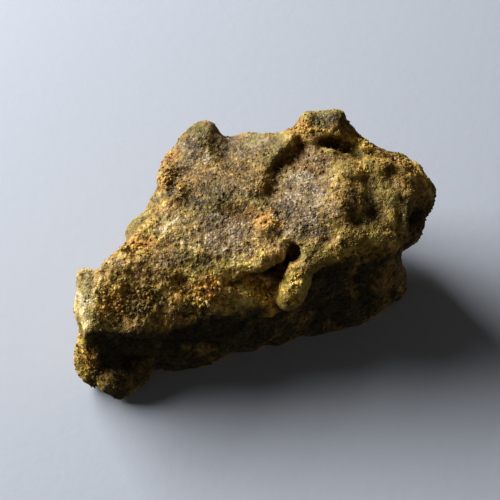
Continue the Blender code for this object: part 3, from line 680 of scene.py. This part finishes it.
def make_grains(skin):
    """The crust of grains, in pieces."""
    chance = np.random.default_rng(SEED)
    kinds = [make_grain(name, cuts, stretch) for name, (cuts, stretch) in GRAIN_KINDS.items()]
    places, normals, wall = scatter_places(skin, chance)
    rock = rock_at(places, chance)
    coarse = spots_share(places, COARSE)
    density = np.array([GRAIN_DENSITY[kind] for kind in rock])
    density = np.maximum(density, coarse * COARSE_DENSITY)
    kept = (chance.random(len(places)) < density / MOST_DENSE) & (places[:, 2] >= GRAINS_START)
    places, normals, rock = places[kept], normals[kept], rock[kept]
    coarse, wall = coarse[kept], wall[kept]
    breadths = np.array([GRAIN_BREADTH[kind] for kind in rock])
    breadths = np.maximum(breadths, coarse * COARSE_BREADTH)
    breadths = breadths * np.exp(chance.normal(0.0, BREADTH_SPREAD, len(rock)))
    breadths = np.minimum(breadths, BROADEST_GRAIN)
    colours = np.zeros((len(rock), 3))
    for kind, palette in PALETTES.items():
        mine = np.flatnonzero(rock == kind)
        odds = np.array([often for colour, often in palette], float)
        drawn = chance.choice(len(palette), size=len(mine), p=odds / odds.sum())
        colours[mine] = np.array([linear(colour) for colour, often in palette])[drawn]
    # Each grain's own lighter or darker colour, times the painted light and shade of its place.
    colours *= chance.uniform(*GRAIN_SHADES, (len(rock), 1)) * painted_light_and_shade_at(places)[:, None]
    # Grains on the wall take its painted shade.
    colours *= 1.0 - wall[:, None] * (1.0 - np.array(WALL_SHADE[:3]))
    rise = breadths * chance.uniform(DEEPEST_SUNK, COARSE_RISE * coarse, len(rock))
    sunk = places + normals * rise[:, None]
    sunk[:, 2] = np.maximum(sunk[:, 2], breadths * GRAIN_CLEARANCE)
    number = piece_of(places, normals)
    grains = []
    for name, which in GRAIN_PIECES.items():
        mine = np.flatnonzero(number == which)[:GRAINS_A_PIECE]
        grains.append(join_grains(name, kinds, sunk[mine], breadths[mine], colours[mine], chance))
    return grains


def new_material(name):
    """A material, its nodes, its links and its main shader."""
    material = bpy.data.materials.new(name)
    material.use_nodes = True
    return material, material.node_tree, material.node_tree.nodes["Principled BSDF"]


def add_noise(tree, place, scale, detail, roughness=0.6):
    """A noise texture at so many waves to a metre; place reads the object's coordinates."""
    texture = tree.nodes.new("ShaderNodeTexNoise")
    texture.inputs["Scale"].default_value = scale
    texture.inputs["Detail"].default_value = detail
    texture.inputs["Roughness"].default_value = roughness
    tree.links.new(place, texture.inputs["Vector"])
    return texture.outputs["Fac"]


def ramp(tree, fac, *stops):
    """A colour ramp: each stop is a place from 0 to 1 and a colour."""
    node = tree.nodes.new("ShaderNodeValToRGB")
    elements = node.color_ramp.elements
    while len(elements) < len(stops):
        elements.new(0.5)
    for element, (position, colour) in zip(elements, stops):
        element.position = position
        element.color = colour
    tree.links.new(fac, node.inputs["Fac"])
    return node.outputs["Color"]


def mix(tree, fac, first, second, blend="MIX"):
    """Mixes two colours; fac, first and second are sockets or values."""
    node = tree.nodes.new("ShaderNodeMix")
    node.data_type = "RGBA"
    node.blend_type = blend
    for name, value in (("Factor_Float", fac), ("A_Color", first), ("B_Color", second)):
        socket = next(entry for entry in node.inputs if entry.identifier == name)
        if hasattr(value, "links"):
            tree.links.new(value, socket)
        else:
            socket.default_value = value
    return next(entry for entry in node.outputs if entry.identifier == "Result_Color")


def attribute(tree, name, output="Fac"):
    """Reads one of the mesh's attributes."""
    node = tree.nodes.new("ShaderNodeAttribute")
    node.attribute_name = name
    return node.outputs[output]


def maths(tree, operation, *values):
    """A maths node; its values are sockets or numbers."""
    node = tree.nodes.new("ShaderNodeMath")
    node.operation = operation
    for socket, value in zip(node.inputs, values):
        if hasattr(value, "links"):
            tree.links.new(value, socket)
        else:
            socket.default_value = value
    return node.outputs["Value"]


def add_bump(tree, surface, height, distance, strength):
    """Fine relief from a height: its full depth in metres, and how much of it shows."""
    bump = tree.nodes.new("ShaderNodeBump")
    bump.inputs["Distance"].default_value = distance
    bump.inputs["Strength"].default_value = strength
    tree.links.new(height, bump.inputs["Height"])
    tree.links.new(bump.outputs["Normal"], surface.inputs["Normal"])


def add_cells(tree, place, scale):
    """Grains in a texture, so many to a metre: each one's random value, and the depth at its sides."""
    cells = tree.nodes.new("ShaderNodeTexVoronoi")
    cells.feature = "F1"
    cells.inputs["Scale"].default_value = scale
    tree.links.new(place, cells.inputs["Vector"])
    split = tree.nodes.new("ShaderNodeSeparateColor")
    tree.links.new(cells.outputs["Color"], split.inputs["Color"])
    return split.outputs["Red"], cells.outputs["Distance"]


def wander(tree, place, scale, reach):
    """The object's coordinates, pushed about by a noise so that grains have crooked sides."""
    texture = tree.nodes.new("ShaderNodeTexNoise")
    texture.inputs["Scale"].default_value = scale
    texture.inputs["Detail"].default_value = 2.0
    tree.links.new(place, texture.inputs["Vector"])
    shift = tree.nodes.new("ShaderNodeVectorMath")
    shift.operation = "MULTIPLY_ADD"
    tree.links.new(texture.outputs["Color"], shift.inputs[0])
    shift.inputs[1].default_value = (reach, reach, reach)
    tree.links.new(place, shift.inputs[2])
    return shift.outputs["Vector"]


def rock_colour(tree, grain, tints, broad):
    """The colour of the rock: epidote with patches of earth, and the other kinds and the painted shade
    laid over it.
    """
    looks = {}
    for kind, stops in ROCK_RAMPS.items():
        looks[kind] = ramp(tree, grain, *[(level, rgba(colour)) for level, colour in stops])
    hue = ramp(tree, broad, *HUE_RAMP)
    earthy = ramp(tree, tints, (0.48, grey(0.0)), (0.62, grey(0.75)))
    colour = mix(tree, 1.0, mix(tree, earthy, looks["epidote"], looks["earth"]), hue, "MULTIPLY")
    for zone, most in ZONE_STRENGTHS.items():
        share = maths(tree, "MULTIPLY", attribute(tree, zone), most)
        colour = mix(tree, share, colour, looks[zone])
    return colour


def skin_material():
    """Epidote with quartz, rust and pale patches: grain by grain, with painted shade in its pits,
    painted light on its crests, and painted light and shade in places.
    """
    material, tree, surface = new_material("epidote_in_quartz")
    place = tree.nodes.new("ShaderNodeTexCoord").outputs["Object"]
    crooked = wander(tree, place, scale=2600.0, reach=0.0002)
    coarse_grain, coarse_side = add_cells(tree, crooked, scale=1150.0)
    fine_grain, fine_side = add_cells(tree, crooked, scale=2300.0)
    cloud = add_noise(tree, place, scale=850.0, detail=3.0)
    patches = add_noise(tree, place, scale=290.0, detail=3.0, roughness=0.55)
    tints = add_noise(tree, crooked, scale=370.0, detail=4.0)
    broad = add_noise(tree, place, scale=150.0, detail=3.0, roughness=0.55)
    specks = add_noise(tree, place, scale=3200.0, detail=2.0)
    coarse_chance = maths(tree, "MULTIPLY", coarse_grain, COARSE_CHANCE)
    fine_chance = maths(tree, "MULTIPLY", fine_grain, FINE_CHANCE)
    chance = maths(tree, "ADD", coarse_chance, fine_chance)
    drift = maths(tree, "MULTIPLY_ADD", cloud, CLOUD_DRIFT, DRIFT_START)
    drift = maths(tree, "ADD", drift, maths(tree, "MULTIPLY", patches, PATCH_DRIFT))
    colour = rock_colour(tree, maths(tree, "ADD", chance, drift), tints, broad)
    # Painted shade in the pits and painted light on the crests.
    for name, (gain, pit, crest) in HEIGHT_SHADING.items():
        height = maths(tree, "MULTIPLY_ADD", attribute(tree, name), gain, 0.5)
        shade = ramp(tree, height, (PIT_END, pit), (0.5, grey(1.0)), (CREST_END, crest))
        colour = mix(tree, 1.0, colour, shade, "MULTIPLY")
    # Painted glints: a few of the quartz's finest grains are painted white.
    glint = ramp(tree, fine_grain, (0.86, grey(0.0)), (0.92, grey(1.0)))
    glint = maths(tree, "MULTIPLY", glint, ramp(tree, tints, (0.5, grey(0.0)), (0.56, grey(1.0))))
    glint = maths(tree, "MULTIPLY", attribute(tree, "quartz"), glint)
    colour = mix(tree, glint, colour, rgba(WHITE))
    # The wall's painted shade.
    wall = mix(tree, attribute(tree, "wall"), grey(1.0), WALL_SHADE)
    colour = mix(tree, 1.0, colour, wall, "MULTIPLY")
    # Painted light and shade, multiplied into the colour.
    colour = mix(tree, 1.0, colour, attribute(tree, "painted_light_and_shade"), "MULTIPLY")
    tree.links.new(colour, surface.inputs["Base Color"])
    gloss = ramp(tree, fine_grain, (0.55, grey(0.75)), (0.9, grey(0.28)))
    tree.links.new(gloss, surface.inputs["Roughness"])
    sides = maths(tree, "ADD", maths(tree, "MULTIPLY", coarse_side, COARSE_SIDES), fine_side)
    grit = maths(tree, "SUBTRACT", specks, sides)
    add_bump(tree, surface, grit, distance=0.0003, strength=0.55)
    return material


def grain_material():
    """Angular grains, each of its own colour, glassy on their faces."""
    material, tree, surface = new_material("epidote_grains")
    place = tree.nodes.new("ShaderNodeTexCoord").outputs["Object"]
    cloud = add_noise(tree, place, scale=1500.0, detail=3.0)
    shade = ramp(tree, cloud, (0.3, (0.6, 0.56, 0.5, 1.0)), (0.7, (1.2, 1.2, 1.15, 1.0)))
    colour = mix(tree, 1.0, attribute(tree, "grain_colour", "Color"), shade, "MULTIPLY")
    tree.links.new(colour, surface.inputs["Base Color"])
    gloss = ramp(tree, cloud, (0.35, grey(0.62)), (0.65, grey(0.3)))
    tree.links.new(gloss, surface.inputs["Roughness"])
    grit = add_noise(tree, place, scale=4200.0, detail=2.0)
    add_bump(tree, surface, grit, distance=0.00012, strength=0.6)
    return material


def make_floor():
    """The sheet of pale paper that the stone lies on. It throws no light back on the stone."""
    bpy.ops.object.select_all(action="DESELECT")
    bpy.ops.mesh.primitive_plane_add(size=4.0, location=(0.0, 0.0, 0.0))
    floor = bpy.context.object
    floor.name = "paper_floor"
    floor.visible_diffuse = False
    floor.visible_glossy = False
    material, tree, surface = new_material("paper")
    surface.inputs["Base Color"].default_value = rgba(PAPER)
    surface.inputs["Roughness"].default_value = 0.9
    place = tree.nodes.new("ShaderNodeTexCoord").outputs["Object"]
    fibres = add_noise(tree, place, scale=350.0, detail=4.0)
    add_bump(tree, surface, fibres, distance=0.0002, strength=0.3)
    floor.data.materials.append(material)


def add_light(name, location, breadth, height, power, colour):
    """A soft light, so broad and so high, aimed at the stone's middle."""
    lamp = bpy.data.lights.new(name, "AREA")
    lamp.shape = "RECTANGLE"
    lamp.size = breadth
    lamp.size_y = height
    lamp.energy = power
    lamp.color = colour
    light = bpy.data.objects.new(name, lamp)
    bpy.context.scene.collection.objects.link(light)
    light.location = location
    light.rotation_euler = (Vector(STONE_MIDDLE) - light.location).to_track_quat("-Z", "Y").to_euler()


def light_scene():
    """A broad window at the back left, with very little light filling the shadows."""
    add_light("window", (-0.51, 0.32, 0.375), 0.75, 0.3, power=10.6, colour=(1.0, 0.99, 0.97))
    add_light("room", (0.3, -0.5, 0.4), 0.8, 0.8, power=0.1, colour=(1.0, 0.92, 0.83))
    world = bpy.data.worlds.new("room_light")
    world.use_nodes = True
    background = world.node_tree.nodes["Background"]
    background.inputs["Color"].default_value = (1.0, 0.95, 0.88, 1.0)
    background.inputs["Strength"].default_value = 0.034
    bpy.context.scene.world = world
    bpy.context.scene.view_settings.view_transform = "Standard"


def add_camera():
    """The photograph's view."""
    lens = bpy.data.cameras.new("camera")
    lens.sensor_width = SENSOR
    lens.lens = SENSOR * VIEW_DISTANCE / (FRAME_PIXELS * PIXEL)
    lens.clip_start = NEAREST_SEEN
    camera = bpy.data.objects.new("camera", lens)
    bpy.context.scene.collection.objects.link(camera)
    back = Vector((0.0, -math.cos(VIEW_ELEVATION), math.sin(VIEW_ELEVATION)))
    target = Vector(VIEW_TARGET) + Vector(DRAWN_FROM)
    camera.location = (target + back * VIEW_DISTANCE) * MM
    camera.rotation_euler = (math.pi / 2 - VIEW_ELEVATION, 0.0, 0.0)
    bpy.context.scene.camera = camera


def main():
    """Sets up the view, then finishes the stone, hangs each piece on the root body and hides the drawn
    solid.
    """
    # Without a seed, noise_vector differs from run to run.
    noise.seed_set(SEED)
    add_camera()
    light_scene()
    make_floor()
    skin = make_skin()
    skin.data.materials.append(skin_material())
    grains = make_grains(skin)
    crust = grain_material()
    for piece in grains:
        piece.data.materials.append(crust)
    for piece in [skin, *grains]:
        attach(piece, "root")
    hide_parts("stone")


main()
